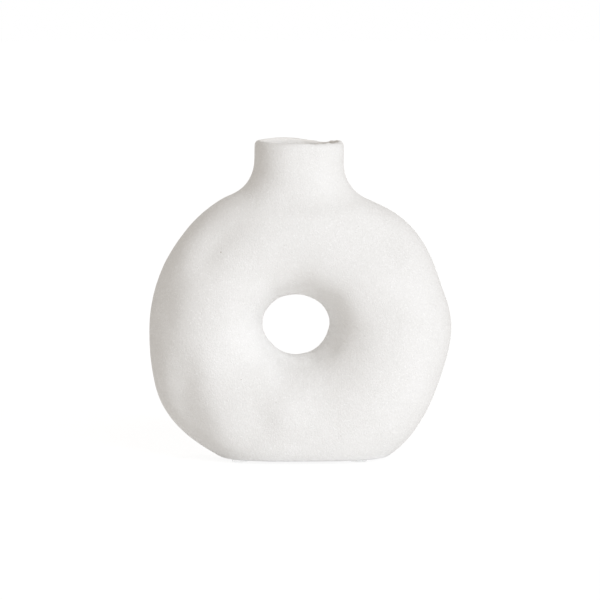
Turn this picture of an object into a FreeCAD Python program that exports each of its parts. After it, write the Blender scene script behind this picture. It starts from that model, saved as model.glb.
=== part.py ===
import FreeCAD, Part
import math
import os

# A ring-shaped stoneware vase: one slip-cast, hollow shell of even wall, standing on four clear
# self-adhesive pads. The ring's hole runs along Y. The neck stands on top along Z, and its bore opens
# into the hollow ring.
# Frame: millimetres, +Z up, origin on the table under the neck's axis, front of the vase towards -Y.

Vector = FreeCAD.Vector

# Driving sizes of the shell.
ring_radius = 89.0          # from the hole's centre to the outline, before the hand-made unevenness
hole_radius = 18.3          # of the hole at its narrowest, in the middle of the depth
half_depth = 35.5           # from the middle plane to the crest of the ring, front and back
wall = 4.2                  # thickness of the cast shell
base_cut = 10.1             # how deep the flat base cuts into the ring
ring_centre_offset = -2.2   # of the hole's centre from the neck's axis, along X
neck_radius = 26.3          # outside
neck_rise = 19.6            # of the lip above a ring with no unevenness
neck_blend = 22.0           # radius of the sweep from neck to shoulder
floor_thickness = 5.5       # of the cast floor
base_round = 8.0            # radius where the base turns up into the sides
cavity_round = 4.0          # radius where the inside of the floor turns up into the wall
lip_outside_share = 0.67    # of the wall, in the rounding of the lip's outer edge
lip_inside_share = 0.28     # of the wall, in the rounding of its inner edge
lip_lift = 0.3              # the lip stands this much higher at its left than at its right
lip_dip = 2.9               # depth of the lip's main sag. The others are shares of it
lip_dip_spread = 10.0       # distance over which that sag fades

# The clearest of the soft hand-made dents, on the left shoulder. The others are shares of it.
dent_depth = 3.2
dent_length = 20.0          # half length, along the ring
dent_width = 12.0           # half width, across it

# The shallow recess in the middle of the underside.
recess_depth = 0.8
recess_length = 44.0
recess_width = 20.0

# The clear pads, and the adhesive film that holds each of them.
pad_radius = 5.0
pad_thickness = 1.65
pad_round = 0.4             # radius of the pad's lower edge
adhesive_thickness = 0.15
adhesive_inset = 0.2        # the film stays this far inside the pad's edge
pad_spacing_x = 70.0        # between pad centres, left to right
pad_spacing_y = 17.0        # between pad centres, front to back

overrun = 20.0              # how far a cutting body runs past what it cuts
tolerance = 0.05            # how near an edge lies to the place where it is looked for

# Heights above the table that follow from these sizes.
base_height = pad_thickness + adhesive_thickness
ring_centre_height = base_height + ring_radius - base_cut
neck_top_height = ring_centre_height + ring_radius + neck_rise

# Shares of ring_radius at even steps round the ring. The steps start at the right and go up over the top.
ring_outline_shares = (
    1.032, 1.001, 1.003, 0.996, 0.956, 0.945,
    0.943, 0.945, 0.962, 0.959, 0.958, 0.964,
    0.974, 0.997, 1.037, 1.036, 1.016, 1.030,
    1.005, 1.025, 1.070, 1.069, 1.038, 1.025,
)
# Shares of hole_radius at the same steps.
hole_outline_shares = (
    1.091, 1.090, 1.066, 1.034, 0.988, 0.976,
    0.965, 0.970, 0.997, 1.013, 1.038, 1.061,
    1.066, 1.048, 1.014, 0.995, 1.001, 0.996,
    1.004, 1.006, 1.030, 1.040, 1.051, 1.061,
)
fullness_share = 0.10       # how much fuller than an ellipse the corners of a section are

# The dents, and the swells, whose depth share is negative. Each row holds the side that it is on, its place
# as a share of a turn round the ring and as a share of the way over that side from hole to outline, and
# its shares of dent_depth, dent_length and dent_width.
dent_shares = (
    ("front", 0.375, 0.67, 1.00, 1.00, 1.00),
    ("front", 0.535, 0.73, 0.90, 2.70, 1.75),
    ("front", 0.475, 0.80, 0.50, 0.70, 0.85),
    ("front", 0.580, 0.67, 0.70, 0.80, 1.30),
    ("front", 0.655, 0.72, -0.90, 0.70, 1.25),
    ("front", 0.727, 0.43, -0.50, 0.60, 1.15),
    ("front", 0.797, 0.42, -0.15, 0.80, 1.20),
    ("front", 0.125, 0.74, 1.00, 0.95, 1.40),
    ("front", 0.115, 0.34, -0.60, 1.60, 1.00),
    ("front", 0.400, 0.35, -0.45, 0.80, 1.20),
    ("front", 0.920, 0.14, 0.50, 0.45, 0.70),
    ("back", 0.130, 0.66, 0.80, 1.20, 1.20),
    ("back", 0.420, 0.74, 0.60, 2.00, 1.50),
    ("back", 0.610, 0.68, 0.70, 0.90, 1.10),
    ("back", 0.700, 0.50, -0.40, 0.80, 1.20),
    ("back", 0.930, 0.72, 0.60, 1.60, 1.40),
)

# The sags in the hand-trimmed lip, and the rises, whose depth share is negative. Each row holds its place as a
# share of a turn round the neck, from the right over the back, and its shares of lip_dip and lip_dip_spread.
lip_sag_shares = (
    (0.147, 1.00, 1.00),
    (0.310, -0.10, 1.00),
    (0.660, 0.16, 1.20),
    (0.820, 0.25, 2.20),
    (0.960, 0.12, 1.00),
)

ring_steps = 48             # sections that the ring's skin is laid through
tube_steps = 24             # points round each of them
lip_steps = 12              # points along each side of the surface that trims the lip
edge_samples = 7            # points at which an edge is compared with a circle
spline_rounds = 60          # rounds in which a closed spline's control points settle


def poles_through(points):
    """Control points of the closed, evenly spaced cubic spline that passes through the points."""
    poles = list(points)
    for spline_round in range(spline_rounds):
        for i in range(len(points)):
            after = poles[(i + 1) % len(points)]
            poles[i] = (points[i] * 6 - poles[i - 1] - after) * 0.25
    return poles


def spline_at(poles, turn):
    """The value of a closed, evenly spaced cubic spline at a share of a turn."""
    place = turn * len(poles)
    step = math.floor(place)
    t = place - step
    weights = ((1 - t) ** 3, 3 * t**3 - 6 * t**2 + 4, 3 * (t + t**2 - t**3) + 1, t**3)
    return sum(weight * poles[(step - 1 + i) % len(poles)] for i, weight in enumerate(weights)) / 6


ring_poles = poles_through(ring_outline_shares)
hole_poles = poles_through(hole_outline_shares)


def turn_between(place, other):
    """The shorter way between two places round a circle, as a share of a turn."""
    return (place - other + 0.5) % 1 - 0.5


def dent_at(turn, tube_turn, radius, tube_radius):
    """How deep the dents are at a place on the ring's skin."""
    depth = 0
    for side, around, over, depth_share, length_share, width_share in dent_shares:
        over_turn = over / 2 if side == "back" else -over / 2
        along = 2 * math.pi * radius * turn_between(turn, around) / (dent_length * length_share)
        across = 2 * math.pi * tube_radius * turn_between(tube_turn, over_turn) / (dent_width * width_share)
        depth += dent_depth * depth_share * math.exp(-along**2 - across**2)
    return depth


def ring_point(turn, tube_turn, inset):
    """A point of the ring's skin, or of the skin that lies inset under it. Tube turn 0 is at the hole."""
    ring_angle = 2 * math.pi * turn
    tube_angle = 2 * math.pi * tube_turn
    outline = ring_radius * spline_at(ring_poles, turn)
    hole = hole_radius * spline_at(hole_poles, turn)
    tube_radius = (outline - hole) / 2
    radius = hole + tube_radius * (1 - math.cos(tube_angle))
    sunk = inset + dent_at(turn, tube_turn, radius, tube_radius)
    radius += sunk * math.cos(tube_angle)
    fullness = 1 + fullness_share * math.cos(tube_angle) ** 2
    return Vector(
        ring_centre_offset + radius * math.cos(ring_angle),
        (half_depth - sunk) * math.sin(tube_angle) * fullness,
        ring_centre_height + radius * math.sin(ring_angle),
    )


def even_knots(steps):
    return [float(i) for i in range(steps + 1)]


def ring_solid(inset):
    """The closed ring whose skin lies inset under the vase's own."""
    sections = []
    for i in range(ring_steps):
        points = [ring_point(i / ring_steps, j / tube_steps, inset) for j in range(tube_steps)]
        sections.append(poles_through(points))
    rails = [poles_through([section[j] for section in sections]) for j in range(tube_steps)]
    skin = Part.BSplineSurface()
    skin.buildFromPolesMultsKnots(
        [[rail[i] for rail in rails] for i in range(ring_steps)],
        [1] * (ring_steps + 1),
        [1] * (tube_steps + 1),
        even_knots(ring_steps),
        even_knots(tube_steps),
        True,
        True,
        3,
        3,
    )
    return Part.Solid(Part.Shell([skin.toShape()]))


def round_bar(radius, low, high):
    """A round bar up the neck's axis. Its wall is two halves, which meet at the left and the right."""
    left, right = Vector(-radius, 0, low), Vector(radius, 0, low)
    outline = Part.Wire([
        Part.Arc(left, Vector(0, -radius, low), right).toShape(),
        Part.Arc(right, Vector(0, radius, low), left).toShape(),
    ])
    return Part.Face(outline).extrude(Vector(0, 0, high - low))


def on_neck(edge, radius):
    """Whether an edge runs round the neck at this radius, and isn't a straight line along it."""
    if edge.Curve.TypeId == "Part::GeomLine":
        return False
    return all(abs(math.hypot(p.x, p.y) - radius) < tolerance for p in edge.discretize(edge_samples))


def ring_with_neck(inset):
    """The ring joined to its neck by a smooth sweep, with the neck running past the lip."""
    radius = neck_radius - inset
    start = ring_centre_height + (ring_radius + hole_radius) / 2
    top = neck_top_height + overrun
    joined = ring_solid(inset).fuse(round_bar(radius, start, top))
    junction = [e for e in joined.Edges if on_neck(e, radius) and e.BoundBox.ZMax < top - tolerance]
    return joined.makeFillet(neck_blend + inset, junction)


def cut_flat(body, height, rounding):
    """The body cut off flat at this height, with the cut's edge rounded."""
    side = 2 * (ring_radius + overrun)
    below = Part.makeBox(2 * side, side, side, Vector(-side, -side / 2, height - side))
    rest = body.cut(below)
    return rest.makeFillet(rounding, [e for e in rest.Edges if e.BoundBox.ZMax < height + tolerance])


def lip_height(x, y):
    """Height of the hand-trimmed lip: it leans down to the right and sags in places."""
    height = neck_top_height - lip_lift * x / (2 * neck_radius)
    for around, depth_share, spread_share in lip_sag_shares:
        bearing = 2 * math.pi * around
        distance = math.hypot(x - neck_radius * math.cos(bearing), y - neck_radius * math.sin(bearing))
        height -= lip_dip * depth_share * math.exp(-((distance / (lip_dip_spread * spread_share)) ** 2))
    return height


def above_lip():
    """The body that trims the neck to its uneven lip."""
    reach = neck_radius + overrun / 2
    places = [-reach + 2 * reach * i / (lip_steps - 1) for i in range(lip_steps)]
    patch = Part.BSplineSurface()
    patch.interpolate([[Vector(x, y, lip_height(x, y)) for y in places] for x in places])
    return patch.toShape().extrude(Vector(0, 0, 2 * overrun))


def recess():
    """The shallow stadium-shaped hollow in the underside."""
    radius = recess_width / 2
    reach = recess_length / 2 - radius
    z = base_height - overrun
    left, right = Vector(-reach, 0, z), Vector(reach, 0, z)
    across, along = Vector(0, radius, 0), Vector(radius, 0, 0)
    outline = Part.Wire([
        Part.LineSegment(left + across, right + across).toShape(),
        Part.Arc(right + across, right + along, right - across).toShape(),
        Part.LineSegment(right - across, left - across).toShape(),
        Part.Arc(left - across, left - along, left + across).toShape(),
    ])
    return Part.Face(outline).extrude(Vector(0, 0, overrun + recess_depth))


def vase_body():
    """The cast shell: outer form less the cavity, trimmed at the lip and hollowed a little underneath."""
    outer = cut_flat(ring_with_neck(0), base_height, base_round)
    cavity = cut_flat(ring_with_neck(wall), base_height + floor_thickness, cavity_round)
    shell = outer.cut(cavity).cut(above_lip())
    lip_floor = neck_top_height - lip_dip - lip_lift - wall
    for radius, share in ((neck_radius, lip_outside_share), (neck_radius - wall, lip_inside_share)):
        edges = [e for e in shell.Edges if e.BoundBox.ZMin > lip_floor and on_neck(e, radius)]
        shell = shell.makeFillet(wall * share, edges)
    return shell.cut(recess())


def pad_places():
    """Name and place of each pad, seen from the front."""
    for side, x in (("left", -pad_spacing_x / 2), ("right", pad_spacing_x / 2)):
        for end, y in (("front", -pad_spacing_y / 2), ("back", pad_spacing_y / 2)):
            yield end + "_" + side, x, y


def pad(x, y):
    """A clear round pad with a softened lower edge."""
    disc = Part.makeCylinder(pad_radius, pad_thickness, Vector(x, y, 0))
    lower = [e for e in disc.Edges if e.BoundBox.ZMax < pad_thickness / 2]
    return disc.makeFillet(pad_round, lower)


def adhesive(x, y):
    """The film between a pad and the base."""
    return Part.makeCylinder(pad_radius - adhesive_inset, adhesive_thickness, Vector(x, y, pad_thickness))


def main():
    os.makedirs("parts", exist_ok=True)
    nodes = {"vase_body": vase_body()}
    for place, x, y in pad_places():
        nodes["pad_" + place] = pad(x, y)
        nodes["adhesive_" + place] = adhesive(x, y)
    for name, shape in nodes.items():
        shape.exportStep("parts/" + name + ".step")
        print(name, "solids", len(shape.Solids), "valid", shape.isValid(), "volume", round(shape.Volume))


main()
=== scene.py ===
import math

import bpy
import numpy as np
from bpy.props import FloatProperty, FloatVectorProperty, IntProperty, PointerProperty
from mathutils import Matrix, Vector, noise
from mathutils.bvhtree import BVHTree


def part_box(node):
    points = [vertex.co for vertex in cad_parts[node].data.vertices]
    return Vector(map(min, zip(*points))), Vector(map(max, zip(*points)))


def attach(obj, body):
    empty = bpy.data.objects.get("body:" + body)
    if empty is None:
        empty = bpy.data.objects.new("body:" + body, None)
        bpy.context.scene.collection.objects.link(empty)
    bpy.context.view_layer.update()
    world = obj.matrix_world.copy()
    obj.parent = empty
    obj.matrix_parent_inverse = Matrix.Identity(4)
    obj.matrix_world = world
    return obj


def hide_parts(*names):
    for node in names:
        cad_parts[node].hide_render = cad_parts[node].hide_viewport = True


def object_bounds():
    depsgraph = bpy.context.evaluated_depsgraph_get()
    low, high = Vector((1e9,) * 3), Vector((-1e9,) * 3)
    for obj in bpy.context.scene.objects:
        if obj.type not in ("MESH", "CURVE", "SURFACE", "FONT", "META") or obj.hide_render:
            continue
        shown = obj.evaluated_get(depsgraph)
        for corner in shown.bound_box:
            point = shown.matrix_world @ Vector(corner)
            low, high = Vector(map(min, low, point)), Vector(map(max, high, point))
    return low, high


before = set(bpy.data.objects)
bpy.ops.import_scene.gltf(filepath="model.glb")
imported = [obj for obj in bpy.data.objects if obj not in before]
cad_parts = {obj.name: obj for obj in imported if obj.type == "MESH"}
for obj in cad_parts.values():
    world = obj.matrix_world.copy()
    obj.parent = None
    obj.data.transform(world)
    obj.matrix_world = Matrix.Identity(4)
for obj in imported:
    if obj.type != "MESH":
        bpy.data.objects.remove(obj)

# A ring-shaped vase of sandy, unglazed stoneware on clear self-adhesive pads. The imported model
# gives every size and place. This file adds the fired clay's surface, the finishes, the light and
# the camera.
# Lengths are in metres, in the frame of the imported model: +Z up, the front of the vase towards -Y.

bl_info = {
    "name": "Stoneware ring vase",
    "version": (1, 0, 0),
    "blender": (4, 5, 0),
    "location": "3D View > Sidebar > Ring vase",
    "description": "Dresses the ring vase's shell and pads, and sets up its studio",
    "category": "Object",
}

MM = 0.001

cad_low, cad_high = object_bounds()
base_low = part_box("vase_body")[0].z
pad_nodes = sorted(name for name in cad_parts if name.startswith("pad_"))
film_nodes = sorted(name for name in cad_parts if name.startswith("adhesive_"))

# Where the picture's pixels lie on the vase's middle plane, in a picture of 600 by 600.
picture_size = 600
pixel = 0.59 * MM
neck_column = 299.2
table_row = 460.6
camera_distance = 2500 * MM
camera_height = 350 * MM

# Iron specks that show on the front. Each row holds a column and a row of that picture, and the
# speck's share of the largest radius.
front_specks = (
    (221, 252, 1.0),
    (358, 226, 0.65),
    (285, 245, 0.5),
    (429, 331, 0.55),
    (241, 380, 0.65),
    (276, 403, 0.65),
    (341, 437, 0.6),
)

# Soft hand-made touches on the front. Each row holds its column and row in that picture, its half
# length and half width in millimetres, the length's turn in degrees from level, and how far it
# stands proud in millimetres, or how deep it is where that is negative.
front_touches = (
    # The neck.
    (304, 150, 9, 20, 0, -0.7),
    (316, 162, 20, 20, 0, -0.8),
    (266, 172, 9, 30, 0, 1.1),
    (258, 186, 16, 18, 0, 1.4),
    # The left shoulder and flank.
    (214, 213, 20, 9, 45, 0.7),
    (184, 248, 18, 18, 0, 0.6),
    (190, 264, 18, 18, 0, 1.4),
    (176, 285, 8, 20, 10, -0.5),
    # The right shoulder.
    (340, 212, 18, 12, 60, -0.8),
    (352, 228, 20, 20, 0, -1.8),
    (374, 246, 20, 9, -45, -0.8),
    (388, 246, 20, 9, -45, -0.7),
    (390, 254, 18, 9, -45, -1.8),
    (352, 284, 24, 14, 0, 1.2),
    # Round the hole.
    (300, 230, 22, 10, 0, -0.4),
    (280, 294, 18, 18, 0, 0.7),
    (232, 318, 20, 20, 0, 0.8),
    (340, 342, 14, 14, 0, -1.6),
    (258, 348, 14, 26, 0, 1.7),
    (240, 372, 13, 13, 0, -0.9),
    (292, 388, 20, 20, 0, 0.9),
    # The lower left.
    (184, 388, 8, 20, 0, -0.9),
    (176, 411, 18, 8, -45, -0.7),
    (196, 412, 9, 22, 50, -0.7),
    (188, 422, 20, 9, -45, -1.8),
    # Below the hole.
    (318, 398, 18, 18, 0, 0.5),
    (292, 413, 20, 20, 0, 0.8),
    (262, 424, 10, 13, 0, -0.9),
    (328, 426, 14, 14, 0, -0.5),
    # The lower right, and the foot.
    (378, 399, 24, 18, 0, 1.3),
    (352, 402, 20, 20, 0, 0.7),
    (376, 450, 20, 9, 45, -0.6),
    (300, 457, 45, 5, 0, 0.5),
)

# The middle of the painted light round the hole, a paler clay that lifts the hole's shade, a little
# to the right of the hole's middle.
painted_light_middle = (1.5 * MM, 0, 80.7 * MM)

# Rises and falls along the lip. Each row holds its place as a share of a turn round the neck, from
# the right over the back, how far it spreads and how far it rises, in millimetres.
lip_touches = (
    (0.0, 4.0, 0.3),
    (0.105, 4.0, 0.75),
    (0.150, 6.0, 0.65),
    (0.236, 4.0, -0.5),
    (0.340, 6.0, 0.25),
)

# Where a Mix node between colours takes its factor and its two colours, and gives the blend.
mix_inputs = (0, 6, 7)
mix_output = 2

white = (1, 1, 1, 1)


class ShellSettings(bpy.types.PropertyGroup):
    """Sizes of the shell's mesh and of its fine unevenness."""

    cell: FloatProperty(
        name="Mesh cell", description="Side of the shell's mesh cells",
        default=1.45 * MM, unit="LENGTH",
    )
    evening_rounds: IntProperty(
        name="Evening rounds", description="How often the mesh is evened out",
        default=8, min=0,
    )
    wave_height: FloatProperty(
        name="Wave height", description="Height of the slow hand-made waves",
        default=0.16 * MM, unit="LENGTH",
    )
    wave_length: FloatProperty(
        name="Wave length", description="Length of the slow hand-made waves",
        default=14 * MM, unit="LENGTH",
    )
    tooth_height: FloatProperty(
        name="Tooth height", description="Height of the sandy tooth in the mesh",
        default=0.035 * MM, unit="LENGTH",
    )
    tooth_length: FloatProperty(
        name="Tooth length", description="Distance between the highs of the sandy tooth",
        default=3.0 * MM, unit="LENGTH",
    )
    lip_radius: FloatProperty(
        name="Lip radius", description="Radius of the lip's middle, round the neck's axis",
        default=24.5 * MM, unit="LENGTH",
    )
    lip_reach: FloatProperty(
        name="Lip reach", description="How far down the neck the lip's touches fade out",
        default=18 * MM, unit="LENGTH",
    )
    flat_height: FloatProperty(
        name="Flat base", description="Height over which the relief fades in above the base",
        default=3.0 * MM, unit="LENGTH",
    )


class BisqueSettings(bpy.types.PropertyGroup):
    """The fired clay's colours and grain, with painted light round the hole, on the foot and inside
    the neck.
    """

    colour: FloatVectorProperty(
        name="Clay", description="Colour of the fired clay",
        default=(0.874, 0.868, 0.856), subtype="COLOR", size=3,
    )
    warm_colour: FloatVectorProperty(
        name="Warm patches", description="Colour of the clay's slow, warmer patches",
        default=(0.856, 0.85, 0.836), subtype="COLOR", size=3,
    )
    # Painted light: a warmer, paler clay inside the neck stands in for warm light reaching the
    # neck's shaded inside.
    bore_painted_light_colour: FloatVectorProperty(
        name="Bore", description="Warmer, paler clay inside the neck, a painted warm light",
        default=(0.915, 0.897, 0.868), subtype="COLOR", size=3,
    )
    # Painted light: a paler clay colour that lifts the shade round the hole and on the foot.
    painted_light_colour: FloatVectorProperty(
        name="Painted light edges", description="Paler clay painted round the hole and on the foot as painted light",
        default=(0.945, 0.94, 0.93), subtype="COLOR", size=3,
    )
    speck_colour: FloatVectorProperty(
        name="Specks", description="Colour of the iron specks",
        default=(0.38, 0.33, 0.27), subtype="COLOR", size=3,
    )
    grain_size: FloatProperty(
        name="Grain size", description="Size of the sand's grains",
        default=1.0 * MM, unit="LENGTH", precision=4,
    )
    grain_depth: FloatProperty(
        name="Grain depth", description="Depth of the relief between grains",
        default=0.48 * MM, unit="LENGTH", precision=5,
    )
    bore_reach: FloatProperty(
        name="Bore reach",
        description="Distance from the neck's axis up to which the clay is its inside",
        default=24.0 * MM, unit="LENGTH",
    )
    bore_low: FloatProperty(
        name="Bore floor", description="Height from which the clay is the neck's inside",
        default=120 * MM, unit="LENGTH",
    )
    painted_light_radius: FloatProperty(
        name="Painted light radius", description="Radius of the painted light round the hole",
        default=26 * MM, unit="LENGTH",
    )
    painted_light_side: FloatProperty(
        name="Painted light side", description="How far the painted light reaches to the right of its middle",
        default=11 * MM, unit="LENGTH",
    )
    painted_light_foot: FloatProperty(
        name="Painted light foot", description="Height up to which the foot has painted light",
        default=5.8 * MM, unit="LENGTH",
    )
    patch_size: FloatProperty(
        name="Patch size", description="Size of the slow patches",
        default=16 * MM, unit="LENGTH",
    )
    speck_spacing: FloatProperty(
        name="Speck spacing", description="Mean distance between specks",
        default=34 * MM, unit="LENGTH",
    )
    speck_radius: FloatProperty(
        name="Speck radius", description="Largest radius of a speck",
        default=0.5 * MM, unit="LENGTH", precision=5,
    )
    tint_low: FloatProperty(
        name="Darkest grain", description="Tone of the darkest grains, where 1 is the clay's own",
        default=0.97, min=0, max=1, subtype="FACTOR",
    )
    tint_range: FloatProperty(
        name="Tint range",
        description="How far the tone rises from the darkest grain to the palest",
        default=0.04, min=0, max=1, subtype="FACTOR",
    )
    glint: FloatProperty(
        name="Glint", description="How much whiter the painted glint makes its grains",
        default=0.4, min=0, max=1, subtype="FACTOR",
    )
    roughness: FloatProperty(
        name="Roughness", description="Roughness of the clay",
        default=0.9, min=0, max=1, subtype="FACTOR",
    )
    glint_smoothing: FloatProperty(
        name="Glint smoothing",
        description="How much less rough the grains that catch the light are",
        default=0.3, min=0, max=1, subtype="FACTOR",
    )
    gloss: FloatProperty(
        name="Gloss", description="Specular level of the clay",
        default=0.3, min=0, max=1, subtype="FACTOR",
    )


class PadSettings(bpy.types.PropertyGroup):
    """The clear pads and the film that holds them."""

    colour: FloatVectorProperty(
        name="Pad tint", description="Tint of the clear pads",
        default=(0.97, 0.98, 0.975), subtype="COLOR", size=3,
    )
    film_colour: FloatVectorProperty(
        name="Film tint", description="Tint of the adhesive film",
        default=(0.95, 0.945, 0.92), subtype="COLOR", size=3,
    )
    clearness: FloatProperty(
        name="Clearness", description="Share of the light that passes straight through",
        default=0.74, min=0, max=1, subtype="FACTOR",
    )
    index: FloatProperty(
        name="Refraction", description="Index of refraction of the pads and the film",
        default=1.48,
    )
    pad_roughness: FloatProperty(
        name="Pad roughness", description="Roughness of the pads where nothing has scuffed them",
        default=0.05, min=0, max=1, subtype="FACTOR",
    )
    film_roughness: FloatProperty(
        name="Film roughness", description="Roughness of the adhesive film",
        default=0.25, min=0, max=1, subtype="FACTOR",
    )
    scuff_size: FloatProperty(
        name="Scuff size", description="Size of the faint scuffs",
        default=1.4 * MM, unit="LENGTH", precision=4,
    )
    scuff_depth: FloatProperty(
        name="Scuff depth", description="Depth of the faint scuffs",
        default=0.02 * MM, unit="LENGTH", precision=5,
    )
    scuff_roughness: FloatProperty(
        name="Scuff roughness", description="How much roughness the scuffs add",
        default=0.1, min=0, max=1, subtype="FACTOR",
    )
    scuff_tint: FloatProperty(
        name="Scuff tint", description="How much the scuffs darken the tint",
        default=0.02, min=0, max=1, subtype="FACTOR",
    )


class StageSettings(bpy.types.PropertyGroup):
    """The floor, the light and the camera."""

    floor_colour: FloatVectorProperty(
        name="Floor", description="Colour of the floor",
        default=(0.95, 0.95, 0.95), subtype="COLOR", size=3,
    )
    floor_glow: FloatProperty(
        name="Floor glow", description="Light that the floor gives back besides what falls on it",
        default=0.08, min=0, max=1, subtype="FACTOR",
    )
    floor_white: FloatProperty(
        name="Floor white", description="How bright the camera sees the floor in full shadow",
        default=0.88, min=0, max=1, subtype="FACTOR",
    )
    floor_shade: FloatProperty(
        name="Floor shade",
        description="How much light and shadow change the floor that the camera sees",
        default=0.22, min=0, max=1, subtype="FACTOR",
    )
    surround_colour: FloatVectorProperty(
        name="Surround", description="Colour of the light from all round",
        default=(1.0, 0.93, 0.85), subtype="COLOR", size=3,
    )
    surround_strength: FloatProperty(
        name="Surround strength", description="Strength of the light from all round",
        default=0.475,
    )
    lamp_colour: FloatVectorProperty(
        name="Lamp colour", description="Colour of the three lamps",
        default=(0.89, 0.93, 0.99), subtype="COLOR", size=3,
    )
    key_strength: FloatProperty(
        name="Key strength", description="Strength of the key light",
        default=1.47,
    )
    fill_strength: FloatProperty(
        name="Fill strength", description="Strength of the fill light from above the camera",
        default=0.42,
    )
    back_strength: FloatProperty(
        name="Back strength", description="Strength of the high light from behind",
        default=0.22,
    )
    key_bearing: FloatProperty(
        name="Key bearing", description="Angle of the key light to the right of the camera",
        default=math.radians(40), subtype="ANGLE",
    )
    key_height: FloatProperty(
        name="Key height", description="Angle of the key light above the horizon",
        default=math.radians(12), subtype="ANGLE",
    )
    fill_bearing: FloatProperty(
        name="Fill bearing", description="Angle of the fill light to the right of the camera",
        default=math.radians(20), subtype="ANGLE",
    )
    fill_height: FloatProperty(
        name="Fill height", description="Angle of the fill light above the horizon",
        default=math.radians(40), subtype="ANGLE",
    )
    back_height: FloatProperty(
        name="Back height", description="Angle of the high light behind above the horizon",
        default=math.radians(70), subtype="ANGLE",
    )
    lamp_softness: FloatProperty(
        name="Lamp softness", description="Angle that each lamp fills",
        default=math.radians(20), subtype="ANGLE",
    )
    floor_radius: FloatProperty(
        name="Floor radius", description="Radius of the floor",
        default=6.0, unit="LENGTH",
    )
    floor_sides: IntProperty(
        name="Floor sides", description="Number of sides of the round floor",
        default=96, min=3,
    )
    lamp_distance: FloatProperty(
        name="Lamp distance", description="How far off the lamps are drawn",
        default=1.5, unit="LENGTH",
    )
    camera_reach: FloatProperty(
        name="Camera reach", description="How far the camera sees",
        default=24.0, unit="LENGTH",
    )


def feed(tree, socket, value):
    """Gives an input a link where the value is another node's output, and otherwise the value."""
    if isinstance(value, bpy.types.NodeSocket):
        tree.links.new(value, socket)
    else:
        socket.default_value = value


def add_node(tree, kind, inputs=None, **settings):
    """Adds a node with its settings, and feeds the inputs that are named or numbered."""
    node = tree.nodes.new(kind)
    for name, value in settings.items():
        setattr(node, name, value)
    for key, value in (inputs or {}).items():
        feed(tree, node.inputs[key], value)
    return node


def calc(tree, operation, *values):
    """The output of a Math node."""
    return add_node(tree, "ShaderNodeMath", dict(enumerate(values)), operation=operation).outputs[0]


def blend_colours(tree, factor, first, second):
    """The output of a Mix node between two colours."""
    values = dict(zip(mix_inputs, (factor, first, second)))
    return add_node(tree, "ShaderNodeMix", values, data_type="RGBA").outputs[mix_output]


def ramp(tree, value, low, high):
    """0 where the value is at low or past it, 1 at high, and a soft step between."""
    node = add_node(
        tree, "ShaderNodeMapRange", {"Value": value, "From Min": low, "From Max": high},
        interpolation_type="SMOOTHSTEP",
    )
    return node.outputs["Result"]


def rgba(colour):
    """The colour with full opacity."""
    return (*colour, 1.0)


def new_group(name, places, lengths, results):
    """A shader node group. Its inputs are places and lengths, and its results are single values."""
    group = bpy.data.node_groups.new(name, "ShaderNodeTree")
    for label in places:
        group.interface.new_socket(label, in_out="INPUT", socket_type="NodeSocketVector")
    for label in lengths:
        group.interface.new_socket(label, in_out="INPUT", socket_type="NodeSocketFloat")
    for label in results:
        group.interface.new_socket(label, in_out="OUTPUT", socket_type="NodeSocketFloat")
    given = group.nodes.new("NodeGroupInput").outputs
    result = group.nodes.new("NodeGroupOutput").inputs
    return group, given, result


def place_group(tree, group, inputs):
    """The outputs of a group that is placed with these inputs."""
    return add_node(tree, "ShaderNodeGroup", inputs, node_tree=group).outputs


def vector_calc(tree, operation, first, second=None):
    """A Vector Math node with one or two vectors."""
    inputs = {0: first} if second is None else {0: first, 1: second}
    return add_node(tree, "ShaderNodeVectorMath", inputs, operation=operation)


def length_along(tree, vector, axes):
    """A vector's length, counted only along the axes that are marked with 1."""
    flat = vector_calc(tree, "MULTIPLY", vector, axes).outputs["Vector"]
    return vector_calc(tree, "LENGTH", flat).outputs["Value"]


def part_of(tree, vector, axis):
    """A vector's part along X, Y or Z."""
    return add_node(tree, "ShaderNodeSeparateXYZ", {"Vector": vector}).outputs[axis]


def grain_group():
    """Sand grain: relief between grains, their tint, and a mask of the few grains with a painted
    glint.
    """
    finer, fine_share = 2.6, 0.35
    dots_per_grain, glint_above = 1.3, 0.75
    glint_edge, glint_core = 0.6, 0.2
    group, given, result = new_group("Sand grain", ["Place"], ["Size"], ["Height", "Tint", "Glint"])
    scale = calc(group, "DIVIDE", 1.0, given["Size"])
    coarse = add_node(
        group, "ShaderNodeTexNoise",
        {"Vector": given["Place"], "Scale": scale, "Detail": 2.0, "Roughness": 0.55},
    )
    fine_scale = calc(group, "MULTIPLY", scale, finer)
    fine = add_node(
        group, "ShaderNodeTexNoise",
        {"Vector": given["Place"], "Scale": fine_scale, "Detail": 1.0, "Roughness": 0.5},
    )
    fine_part = calc(group, "MULTIPLY", fine.outputs["Fac"], fine_share)
    height = calc(group, "MULTIPLY_ADD", coarse.outputs["Fac"], 1 - fine_share, fine_part)
    dot_scale = calc(group, "MULTIPLY", scale, dots_per_grain)
    grains = add_node(
        group, "ShaderNodeTexVoronoi", {"Vector": given["Place"], "Scale": dot_scale}, feature="F1",
    )
    chosen = calc(group, "GREATER_THAN", grains.outputs["Color"], glint_above)
    near = ramp(group, grains.outputs["Distance"], glint_edge, glint_core)
    glint = calc(group, "MULTIPLY", chosen, near)
    group.links.new(height, result["Height"])
    group.links.new(grains.outputs["Color"], result["Tint"])
    group.links.new(glint, result["Glint"])
    return group


def patches_group():
    """Slow patches: where the clay's tone drifts over a thumb's width."""
    drift_low, drift_high = 0.35, 0.7
    group, given, result = new_group("Slow patches", ["Place"], ["Size"], ["Mask"])
    scale = calc(group, "DIVIDE", 1.0, given["Size"])
    drift = add_node(
        group, "ShaderNodeTexNoise",
        {
            "Vector": given["Place"], "Scale": scale, "Detail": 3.0, "Roughness": 0.5,
            "Distortion": 0.6,
        },
    )
    group.links.new(ramp(group, drift.outputs["Fac"], drift_low, drift_high), result["Mask"])
    return group


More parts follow.
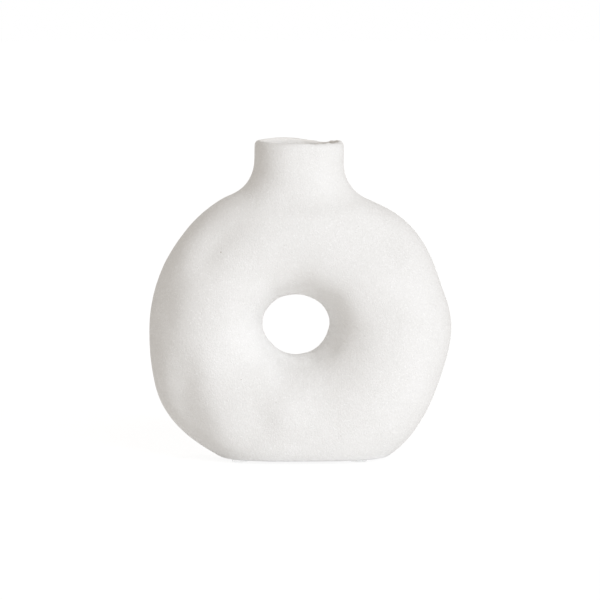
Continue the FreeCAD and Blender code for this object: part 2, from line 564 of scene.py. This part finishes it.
def specks_group():
    """Scattered specks: one in each cell, each with a size of its own, and full within its core."""
    core_share = 0.4
    group, given, result = new_group("Scattered specks", ["Place"], ["Spacing", "Radius"], ["Mask"])
    scale = calc(group, "DIVIDE", 1.0, given["Spacing"])
    cells = add_node(
        group, "ShaderNodeTexVoronoi", {"Vector": given["Place"], "Scale": scale}, feature="F1",
    )
    distance = calc(group, "MULTIPLY", cells.outputs["Distance"], given["Spacing"])
    size = calc(group, "MULTIPLY", cells.outputs["Color"], given["Radius"])
    share = calc(group, "DIVIDE", distance, size)
    group.links.new(ramp(group, share, 1.0, core_share), result["Mask"])
    return group


def on_middle_plane(column, row):
    """Where a pixel of the picture lies on the vase's middle plane."""
    return Vector(((column - neck_column) * pixel, 0, (table_row - row) * pixel))


def camera_place():
    """Where the camera stands, straight in front of the picture's middle."""
    centre = on_middle_plane(picture_size / 2, picture_size / 2)
    return Vector((centre.x, -camera_distance, camera_height))


def front_places(table, shell):
    """Where the columns and rows of the picture that begin a table's rows lie on the shell."""
    skin = BVHTree.FromObject(shell, bpy.context.evaluated_depsgraph_get())
    eye = camera_place()
    return [
        skin.ray_cast(eye, (on_middle_plane(column, row) - eye).normalized())[0]
        for column, row, *_ in table
    ]


def front_specks_group(shell):
    """Specks at chosen places on the front, the size of a grain of iron sand."""
    core_share = 0.3
    past_every_speck = 1.0
    group, given, result = new_group("Front specks", ["Place"], ["Radius"], ["Mask"])
    nearest = past_every_speck
    for place, (*_, size) in zip(front_places(front_specks, shell), front_specks):
        gap = vector_calc(group, "DISTANCE", given["Place"], place).outputs["Value"]
        nearest = calc(group, "MINIMUM", nearest, calc(group, "DIVIDE", gap, size))
    share = calc(group, "DIVIDE", nearest, given["Radius"])
    group.links.new(ramp(group, share, 1.0, core_share), result["Mask"])
    return group


def painted_light_group():
    """Painted light: where the clay is painted paler to lift the shade, round the hole and along the
    foot.
    """
    hole_core, side_core, foot_core = 0.76, 0.2, 0.4
    group, given, result = new_group(
        "Painted light edges", ["Place", "Middle"], ["Radius", "Side", "Foot"], ["Mask"],
    )
    offset = vector_calc(group, "SUBTRACT", given["Place"], given["Middle"]).outputs["Vector"]
    reach = length_along(group, offset, (1, 0, 1))
    near = ramp(group, calc(group, "DIVIDE", reach, given["Radius"]), 1.0, hole_core)
    across = part_of(group, offset, "X")
    left = ramp(group, calc(group, "DIVIDE", across, given["Side"]), 1.0, side_core)
    hole = calc(group, "MULTIPLY", near, left)
    height = part_of(group, given["Place"], "Z")
    foot = ramp(group, calc(group, "DIVIDE", height, given["Foot"]), 1.0, foot_core)
    group.links.new(calc(group, "MAXIMUM", hole, foot), result["Mask"])
    return group


def bore_group():
    """The wall inside the neck: nearer to the neck's axis than the lip's middle, and high up."""
    core_share = 0.94
    group, given, result = new_group("Inside the neck", ["Place"], ["Radius", "Low"], ["Mask"])
    reach = length_along(group, given["Place"], (1, 1, 0))
    share = calc(group, "DIVIDE", reach, given["Radius"])
    above = calc(group, "GREATER_THAN", part_of(group, given["Place"], "Z"), given["Low"])
    inside = ramp(group, share, 1.0, core_share)
    group.links.new(calc(group, "MULTIPLY", inside, above), result["Mask"])
    return group


def new_material(name):
    """A new node material with its tree, its Principled shader and its places on the object."""
    material = bpy.data.materials.new(name)
    material.use_nodes = True
    tree = material.node_tree
    tree.nodes.clear()
    output = tree.nodes.new("ShaderNodeOutputMaterial")
    shader = tree.nodes.new("ShaderNodeBsdfPrincipled")
    tree.links.new(shader.outputs["BSDF"], output.inputs["Surface"])
    place = tree.nodes.new("ShaderNodeTexCoord").outputs["Object"]
    return material, tree, shader, place


def add_bump(tree, shader, height, depth):
    """Gives the shader the relief of a height that varies by this depth."""
    bump = add_node(tree, "ShaderNodeBump", {"Height": height, "Distance": depth, "Strength": 1.0})
    feed(tree, shader.inputs["Normal"], bump.outputs["Normal"])


def toned(tree, colour, tone):
    """The colour, made paler or darker by a tone, where 1 leaves it as it is."""
    node = add_node(tree, "ShaderNodeHueSaturation", {"Color": colour, "Value": tone})
    return node.outputs["Color"]


def bisque_material(settings, groups, shell):
    """Unglazed sandy stoneware: matt, pale, with a grain, slow patches, a few iron specks, and
    painted light round the hole, on the foot and inside the neck.
    """
    material, tree, shader, place = new_material("sandy_bisque")
    grain = place_group(tree, groups["grain"], {"Place": place, "Size": settings.grain_size})
    patches = place_group(tree, groups["patches"], {"Place": place, "Size": settings.patch_size})
    specks = place_group(
        tree, groups["specks"],
        {"Place": place, "Spacing": settings.speck_spacing, "Radius": settings.speck_radius},
    )
    seen = place_group(
        tree, front_specks_group(shell),
        {"Place": place, "Radius": settings.speck_radius},
    )
    # Painted light: a mask for the paler clay that lifts the shade round the hole's left side and
    # along the foot.
    painted_light = place_group(
        tree, groups["painted_light"],
        {
            "Place": place, "Middle": painted_light_middle, "Radius": settings.painted_light_radius,
            "Side": settings.painted_light_side, "Foot": settings.painted_light_foot,
        },
    )
    bore = place_group(
        tree, groups["bore"],
        {"Place": place, "Radius": settings.bore_reach, "Low": settings.bore_low},
    )
    dark = calc(tree, "MAXIMUM", specks["Mask"], seen["Mask"])
    clay = blend_colours(tree, patches["Mask"], rgba(settings.colour), rgba(settings.warm_colour))
    # Painted light: paler clay round the hole and on the foot lifts the shade that falls there.
    clay = blend_colours(tree, painted_light["Mask"], clay, rgba(settings.painted_light_colour))
    # Painted light: the inside of the neck is painted warmer and paler, in place of the warm light
    # that its shade lacks.
    clay = blend_colours(tree, bore["Mask"], clay, rgba(settings.bore_painted_light_colour))
    tone = calc(tree, "MULTIPLY_ADD", grain["Tint"], settings.tint_range, settings.tint_low)
    clay = toned(tree, clay, tone)
    # Painted glints: the chosen grains are painted whiter in the base colour, a painted highlight
    # for light the grains catch; their roughness is also lowered.
    glints = calc(tree, "MULTIPLY", grain["Glint"], settings.glint)
    clay = blend_colours(tree, glints, clay, white)
    clay = blend_colours(tree, dark, clay, rgba(settings.speck_colour))
    feed(tree, shader.inputs["Base Color"], clay)
    roughness = calc(
        tree, "MULTIPLY_ADD", grain["Glint"], -settings.glint_smoothing, settings.roughness,
    )
    feed(tree, shader.inputs["Roughness"], roughness)
    shader.inputs["Specular IOR Level"].default_value = settings.gloss
    add_bump(tree, shader, grain["Height"], settings.grain_depth)
    return material


def clear_material(name, colour, roughness, settings, groups):
    """A clear plastic with faint scuffs."""
    material, tree, shader, place = new_material(name)
    scuffs = place_group(tree, groups["grain"], {"Place": place, "Size": settings.scuff_size})
    shader.inputs["Transmission Weight"].default_value = 1.0
    shader.inputs["Alpha"].default_value = 1 - settings.clearness
    shader.inputs["IOR"].default_value = settings.index
    tone = calc(tree, "MULTIPLY_ADD", scuffs["Tint"], settings.scuff_tint, 1 - settings.scuff_tint)
    feed(tree, shader.inputs["Base Color"], toned(tree, rgba(colour), tone))
    scuffed = calc(tree, "MULTIPLY_ADD", scuffs["Height"], settings.scuff_roughness, roughness)
    feed(tree, shader.inputs["Roughness"], scuffed)
    add_bump(tree, shader, scuffs["Height"], settings.scuff_depth)
    return material


def shader_groups():
    """The shared shader groups, built once."""
    makers = {
        "grain": ("Sand grain", grain_group),
        "patches": ("Slow patches", patches_group),
        "specks": ("Scattered specks", specks_group),
        "bore": ("Inside the neck", bore_group),
        "painted_light": ("Painted light edges", painted_light_group),
    }
    return {key: bpy.data.node_groups.get(name) or make() for key, (name, make) in makers.items()}


def cell_mesh(node, cell):
    """The node's form again, in even square cells."""
    source = bpy.data.objects.new(node + "_source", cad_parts[node].data)
    bpy.context.scene.collection.objects.link(source)
    cells = source.modifiers.new("cells", "REMESH")
    cells.mode = "VOXEL"
    cells.voxel_size = cell
    depsgraph = bpy.context.evaluated_depsgraph_get()
    mesh = bpy.data.meshes.new_from_object(source.evaluated_get(depsgraph))
    bpy.data.objects.remove(source)
    return mesh


def points_of(mesh):
    """The places of the mesh's points, one row each."""
    co = np.empty(len(mesh.vertices) * 3, np.float32)
    mesh.vertices.foreach_get("co", co)
    return co.reshape(-1, 3).astype(float)


def put_points(mesh, co):
    """Moves the mesh's points to these places."""
    mesh.vertices.foreach_set("co", co.astype(np.float32).ravel())
    mesh.update()


def normals_of(mesh):
    """The directions that the mesh's points face, one row each."""
    normals = np.empty(len(mesh.vertices) * 3, np.float32)
    mesh.vertices.foreach_get("normal", normals)
    return normals.reshape(-1, 3).astype(float)


def evened(mesh, rounds):
    """The mesh's points, smoothed along its edges without shrinking."""
    smoothing, regrowing = 0.5, -0.52
    co = points_of(mesh)
    edges = np.empty(len(mesh.edges) * 2, np.int32)
    mesh.edges.foreach_get("vertices", edges)
    first, second = edges.reshape(-1, 2).T
    neighbours = np.bincount(edges, minlength=len(co))[:, None]
    for share in (smoothing, regrowing) * rounds:
        total = np.stack([
            np.bincount(first, co[second, axis], len(co))
            + np.bincount(second, co[first, axis], len(co))
            for axis in range(3)
        ], axis=1)
        co += share * (total / neighbours - co)
    return co


def touched(co, normals):
    """How far the soft touches lift each point of the front's outer skin."""
    lift = np.zeros(len(co))
    places = front_places(front_touches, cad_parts["vase_body"])
    for place, (*_, half_length, half_width, turn, height) in zip(places, front_touches):
        angle = math.radians(turn)
        x, z = co[:, 0] - place.x, co[:, 2] - place.z
        along = (x * math.cos(angle) + z * math.sin(angle)) / (half_length * MM)
        across = (z * math.cos(angle) - x * math.sin(angle)) / (half_width * MM)
        lift += height * MM * np.exp(-along ** 2 - across ** 2)
    facing = np.where(co[:, 1] < 0, np.clip(-normals[:, 1], 0, 1), 0)
    return lift * facing


def lip_rise(co, settings):
    """How far the soft touches lift the lip at each point."""
    top = co[:, 2].max()
    rise = np.zeros(len(co))
    for turn, spread, height in lip_touches:
        bearing = 2 * math.pi * turn
        x, y = settings.lip_radius * math.cos(bearing), settings.lip_radius * math.sin(bearing)
        distance = np.hypot(co[:, 0] - x, co[:, 1] - y)
        rise += height * MM * np.exp(-(distance / (spread * MM)) ** 2)
    return rise * np.clip(1 - (top - co[:, 2]) / settings.lip_reach, 0, 1)


def relief(co, settings):
    """How far waves and tooth make each point stand proud. Both fade out at the base."""
    places = [Vector(point) for point in co]
    waves = np.array([noise.noise(place / settings.wave_length) for place in places])
    tooth = np.array([noise.noise(place / settings.tooth_length) for place in places])
    fade = np.clip((co[:, 2] - base_low) / settings.flat_height, 0, 1)
    return fade * (waves * settings.wave_height + tooth * settings.tooth_height)


def shell_object(settings):
    """The shell's mesh object."""
    mesh = cell_mesh("vase_body", settings.cell)
    mesh.name = "stoneware_shell"
    put_points(mesh, evened(mesh, settings.evening_rounds))
    co, normals = points_of(mesh), normals_of(mesh)
    lift = relief(co, settings) + touched(co, normals)
    co += normals * lift[:, None]
    co[:, 2] += lip_rise(co, settings)
    put_points(mesh, co)
    mesh.shade_smooth()
    shell = bpy.data.objects.new("stoneware_shell", mesh)
    bpy.context.scene.collection.objects.link(shell)
    return shell


class VASE_OT_build_shell(bpy.types.Operator):
    """Build the stoneware shell with its fine unevenness and its bisque finish"""

    bl_idname = "ring_vase.build_shell"
    bl_label = "Build the shell"

    def execute(self, context):
        shell = shell_object(context.scene.ring_vase_shell)
        shell.data.materials.clear()
        bisque = bisque_material(context.scene.ring_vase_bisque, shader_groups(), shell)
        shell.data.materials.append(bisque)
        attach(shell, "root")
        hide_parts("vase_body")
        return {"FINISHED"}


def dress(nodes, material):
    """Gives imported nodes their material."""
    for name in nodes:
        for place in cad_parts[name].material_slots:
            place.material = material


class VASE_OT_finish_pads(bpy.types.Operator):
    """Give the pads their clear plastic, and the film under the base its clear adhesive"""

    bl_idname = "ring_vase.finish_pads"
    bl_label = "Finish the pads"

    def execute(self, context):
        settings = context.scene.ring_vase_pads
        groups = shader_groups()
        pad_plastic = clear_material(
            "clear_pad", settings.colour, settings.pad_roughness, settings, groups,
        )
        adhesive = clear_material(
            "clear_film", settings.film_colour, settings.film_roughness, settings, groups,
        )
        dress(pad_nodes, pad_plastic)
        dress(film_nodes, adhesive)
        return {"FINISHED"}


def in_sight(tree):
    """1 for what the camera sees, straight, in gloss or through clear plastic, and otherwise 0."""
    path = tree.nodes.new("ShaderNodeLightPath").outputs
    seen = calc(tree, "MAXIMUM", path["Is Camera Ray"], path["Is Transmission Ray"])
    return calc(tree, "MAXIMUM", seen, path["Is Glossy Ray"])


def glowing_matt(tree, colour, glow):
    """A matt surface of this colour that also glows white."""
    matt = add_node(tree, "ShaderNodeBsdfDiffuse", {"Color": colour})
    light = add_node(tree, "ShaderNodeEmission", {"Color": white, "Strength": glow})
    both = {0: matt.outputs[0], 1: light.outputs[0]}
    return add_node(tree, "ShaderNodeAddShader", both).outputs[0]


def mixed_shaders(tree, factor, first, second):
    """The output of a Mix Shader node."""
    return add_node(tree, "ShaderNodeMixShader", {0: factor, 1: first, 2: second}).outputs[0]


def floor_material(settings):
    """A white floor. The camera sees it as white, and still sees the vase's shadow on it."""
    material = bpy.data.materials.new("white_floor")
    material.use_nodes = True
    tree = material.node_tree
    tree.nodes.clear()
    output = tree.nodes.new("ShaderNodeOutputMaterial")
    below = tree.nodes.new("ShaderNodeNewGeometry").outputs["Backfacing"]
    lit = glowing_matt(tree, rgba(settings.floor_colour), settings.floor_glow)
    shown = glowing_matt(tree, rgba((settings.floor_shade,) * 3), settings.floor_white)
    top = mixed_shaders(tree, in_sight(tree), lit, shown)
    clear = tree.nodes.new("ShaderNodeBsdfTransparent").outputs[0]
    tree.links.new(mixed_shaders(tree, below, top, clear), output.inputs["Surface"])
    return material


def white_world(settings):
    """Light from all round, which the camera, gloss and clear plastic see as plain white."""
    world = bpy.data.worlds.new("white_surround")
    bpy.context.scene.world = world
    world.use_nodes = True
    tree = world.node_tree
    tree.nodes.clear()
    output = tree.nodes.new("ShaderNodeOutputWorld")
    light = add_node(
        tree, "ShaderNodeBackground",
        {"Color": rgba(settings.surround_colour), "Strength": settings.surround_strength},
    )
    plain = add_node(tree, "ShaderNodeBackground", {"Color": white, "Strength": 1.0})
    surround = mixed_shaders(tree, in_sight(tree), light.outputs[0], plain.outputs[0])
    tree.links.new(surround, output.inputs["Surface"])


def add_floor(settings):
    """A round floor at the height that the pads stand on."""
    bpy.ops.mesh.primitive_circle_add(
        vertices=settings.floor_sides, radius=settings.floor_radius, fill_type="NGON",
        location=(0, 0, cad_low.z),
    )
    floor = bpy.context.object
    floor.name = "floor"
    floor.data.materials.append(floor_material(settings))


def add_lamp(name, strength, bearing, height, settings):
    """A soft, distant lamp, at a bearing to the camera's right and an angle above the horizon."""
    light = bpy.data.lights.new(name, "SUN")
    light.energy = strength
    light.color = settings.lamp_colour
    light.angle = settings.lamp_softness
    lamp = bpy.data.objects.new(name, light)
    bpy.context.scene.collection.objects.link(lamp)
    towards = Vector((
        math.cos(height) * math.sin(bearing),
        -math.cos(height) * math.cos(bearing),
        math.sin(height),
    ))
    lamp.location = towards * settings.lamp_distance
    lamp.rotation_euler = towards.to_track_quat("Z", "Y").to_euler()


def add_lamps(settings):
    """The key to the right of the camera, a fill above the camera, and a high lamp behind."""
    add_lamp("key", settings.key_strength, settings.key_bearing, settings.key_height, settings)
    add_lamp("fill", settings.fill_strength, settings.fill_bearing, settings.fill_height, settings)
    add_lamp("back", settings.back_strength, math.pi, settings.back_height, settings)


def add_camera(settings):
    """The camera, whose picture's centre and scale are set on the vase's middle plane."""
    centre = on_middle_plane(picture_size / 2, picture_size / 2)
    data = bpy.data.cameras.new("camera")
    camera = bpy.data.objects.new("camera", data)
    bpy.context.scene.collection.objects.link(camera)
    camera.location = camera_place()
    away = centre - camera.location
    camera.rotation_euler = away.to_track_quat("-Z", "Y").to_euler()
    data.lens = data.sensor_width * away.length / (picture_size * pixel)
    data.clip_end = settings.camera_reach
    bpy.context.scene.camera = camera


class VASE_OT_set_stage(bpy.types.Operator):
    """Set up the floor, the light and the camera"""

    bl_idname = "ring_vase.set_stage"
    bl_label = "Set the stage"

    def execute(self, context):
        settings = context.scene.ring_vase_stage
        white_world(settings)
        add_floor(settings)
        add_lamps(settings)
        add_camera(settings)
        context.scene.view_settings.view_transform = "Standard"
        return {"FINISHED"}


class VASE_PT_panel(bpy.types.Panel):
    """The vase's steps and sizes in the sidebar"""

    bl_idname = "VASE_PT_panel"
    bl_label = "Ring vase"
    bl_space_type = "VIEW_3D"
    bl_region_type = "UI"
    bl_category = "Ring vase"

    def draw(self, context):
        steps = (
            ("ring_vase.build_shell", ("ring_vase_shell", "ring_vase_bisque")),
            ("ring_vase.finish_pads", ("ring_vase_pads",)),
            ("ring_vase.set_stage", ("ring_vase_stage",)),
        )
        for operator, groups in steps:
            box = self.layout.box()
            box.operator(operator)
            for group in groups:
                settings = getattr(context.scene, group)
                for name in settings.bl_rna.properties.keys():
                    if name not in ("name", "rna_type"):
                        box.prop(settings, name)


settings_groups = {
    "ring_vase_shell": ShellSettings,
    "ring_vase_bisque": BisqueSettings,
    "ring_vase_pads": PadSettings,
    "ring_vase_stage": StageSettings,
}
classes = (
    *settings_groups.values(),
    VASE_OT_build_shell,
    VASE_OT_finish_pads,
    VASE_OT_set_stage,
    VASE_PT_panel,
)


def register():
    for cls in classes:
        bpy.utils.register_class(cls)
    for name, cls in settings_groups.items():
        setattr(bpy.types.Scene, name, PointerProperty(type=cls))


def unregister():
    for name in settings_groups:
        delattr(bpy.types.Scene, name)
    for cls in reversed(classes):
        bpy.utils.unregister_class(cls)


def main():
    """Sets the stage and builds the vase."""
    register()
    bpy.ops.ring_vase.set_stage()
    bpy.ops.ring_vase.build_shell()
    bpy.ops.ring_vase.finish_pads()


if __name__ == "__main__":
    main()
